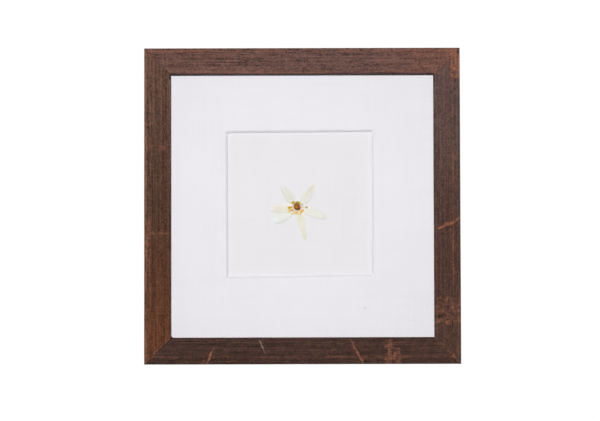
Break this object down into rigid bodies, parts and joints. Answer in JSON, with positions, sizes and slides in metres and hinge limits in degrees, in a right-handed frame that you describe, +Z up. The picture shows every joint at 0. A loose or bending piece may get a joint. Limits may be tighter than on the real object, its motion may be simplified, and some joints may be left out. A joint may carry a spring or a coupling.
{
  "type": "pressed flower frame",
  "caption": "Square wall frame of dark stained wood with a linen window mat and a pressed pale blossom mounted on linen behind glass, hung by a sawtooth hanger.",
  "frame": {"origin": "middle of the hanger's wall side, which lies in the plane of the wall", "axes": "+Z up the wall, +X to the right seen from the front, +Y into the wall; the front faces -Y"},
  "size_m": [0.2986, 0.023, 0.2985],
  "materials": {
    "stained_wood": "dark walnut stain on hand-worn wood, low sheen",
    "clear_glass": "clear, smooth",
    "mat_linen": "white linen weave, matte",
    "mount_linen": "white linen weave, matte",
    "hardboard": "smooth tempered hardboard, matte",
    "point_steel": "bright sheet steel",
    "hanger_brass": "brass plated, satin",
    "bumper_rubber": "matte",
    "petal": "dried petal, papery and slightly translucent",
    "pistil": "dried, brown and rough",
    "stamens": "dried, orange to olive"
  },
  "bodies": {
    "root": {"rail_top": "stained_wood", "rail_bottom": "stained_wood", "rail_left": "stained_wood", "rail_right": "stained_wood", "glass_pane": "clear_glass", "linen_mat": "mat_linen", "linen_mount": "mount_linen", "backing_board": "hardboard", "framer_point_1": "point_steel", "framer_point_2": "point_steel", "framer_point_3": "point_steel", "framer_point_4": "point_steel", "framer_point_5": "point_steel", "framer_point_6": "point_steel", "framer_point_7": "point_steel", "framer_point_8": "point_steel", "sawtooth_hanger": "hanger_brass", "hanger_brad_left": "hanger_brass", "hanger_brad_right": "hanger_brass", "wall_bumper_left": "bumper_rubber", "wall_bumper_right": "bumper_rubber", "petal_upper_left": "petal", "petal_upper_right": "petal", "petal_right": "petal", "petal_bottom": "petal", "petal_left": "petal", "petal_lower_left": "petal", "pistil": "pistil", "stamens": "stamens"}
  },
  "joints": []
}
